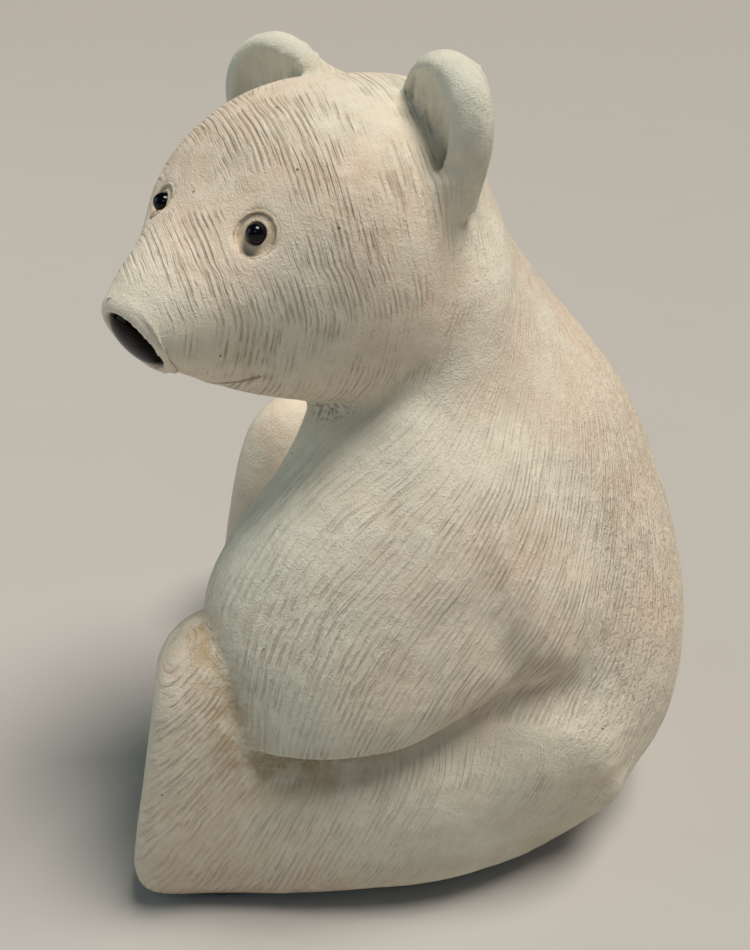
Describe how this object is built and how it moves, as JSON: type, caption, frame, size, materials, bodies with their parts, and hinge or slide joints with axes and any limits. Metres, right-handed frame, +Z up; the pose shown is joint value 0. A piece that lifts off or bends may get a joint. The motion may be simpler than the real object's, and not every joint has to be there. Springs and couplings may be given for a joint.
{
  "type": "seated polar bear ornament",
  "caption": "Hand-modelled clay figure of a polar bear cub sitting upright with its head turned to its left, glass bead eyes and a glass nose, standing on felt pads.",
  "frame": {"origin": "middle of the overall bounding box, on the plane the felt pads rest on", "axes": "+Z up, -Y to the cub's front, +X to the cub's left; the head is turned 50 degrees to the cub's left"},
  "size_m": [0.0896, 0.0848, 0.1182],
  "materials": {
    "clay_body": "unglazed off-white clay, pitted on the back and scored with fine fur lines",
    "clay_head": "unglazed off-white clay with short scored fur lines; ears smoothed",
    "clay_limbs": "unglazed off-white clay with long scored fur lines",
    "clay_slip": "smoothed roll of slip",
    "eye_glass": "polished black glass",
    "nose_glass": "polished black-brown glass",
    "felt": "thin pressed felt"
  },
  "bodies": {
    "root": {"torso": "clay_body", "head": "clay_head", "left_ear": "clay_head", "right_ear": "clay_head", "left_foreleg": "clay_limbs", "right_foreleg": "clay_limbs", "left_hind_leg": "clay_limbs", "right_hind_leg": "clay_limbs", "left_eyelid": "clay_slip", "right_eyelid": "clay_slip", "left_eye": "eye_glass", "right_eye": "eye_glass", "nose_rim": "clay_slip", "nose": "nose_glass", "seat_pad": "felt", "left_foot_pad": "felt", "right_foot_pad": "felt"}
  },
  "joints": []
}
